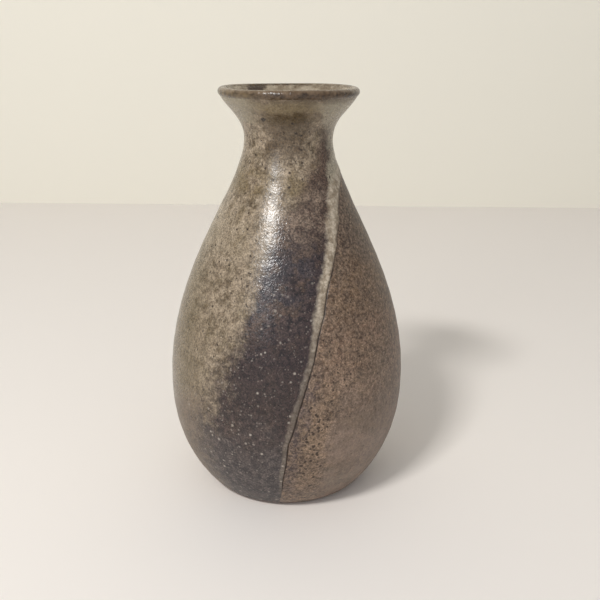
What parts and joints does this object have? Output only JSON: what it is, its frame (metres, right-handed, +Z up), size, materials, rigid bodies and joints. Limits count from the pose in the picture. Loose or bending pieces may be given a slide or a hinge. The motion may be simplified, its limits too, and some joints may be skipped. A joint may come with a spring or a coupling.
{
  "type": "sake bottle",
  "caption": "Pear-shaped stoneware sake bottle with a waisted neck, a flared mouth and two dipped glazes that meet on a slanted raised line.",
  "frame": {"origin": "centre of the foot, on the surface the bottle stands on", "axes": "+Z up along the bottle's axis; -Y is the side where the overlap bead climbs from the middle of the foot towards the right of the neck; +X is the side with the iron glaze"},
  "size_m": [0.0896, 0.0904, 0.15],
  "materials": {
    "fired_clay": "unglazed stoneware, dry and slightly gritty, fine throwing and trimming marks",
    "ash_glaze": "glossy grey-olive ash glaze with orange-peel skin, dark pinholes, and a purple-black iron flow beside the overlap",
    "iron_glaze": "satin tan-brown glaze with dense dark speckles and some pale ones, greyer towards the foot",
    "overlap_glaze": "thick pale glaze bead, soft on one side and broken by a dark line on the other",
    "rim_iron": "glossy thin glaze broken to iron brown over the lip",
    "liner_glaze": "glossy pale beige-grey glaze over soft throwing rings"
  },
  "bodies": {
    "root": {"clay_body": "fired_clay", "ash_glaze_coat": "ash_glaze", "iron_glaze_coat": "iron_glaze", "overlap_bead": "overlap_glaze", "lip_band": "rim_iron", "liner_glaze": "liner_glaze"}
  },
  "joints": []
}
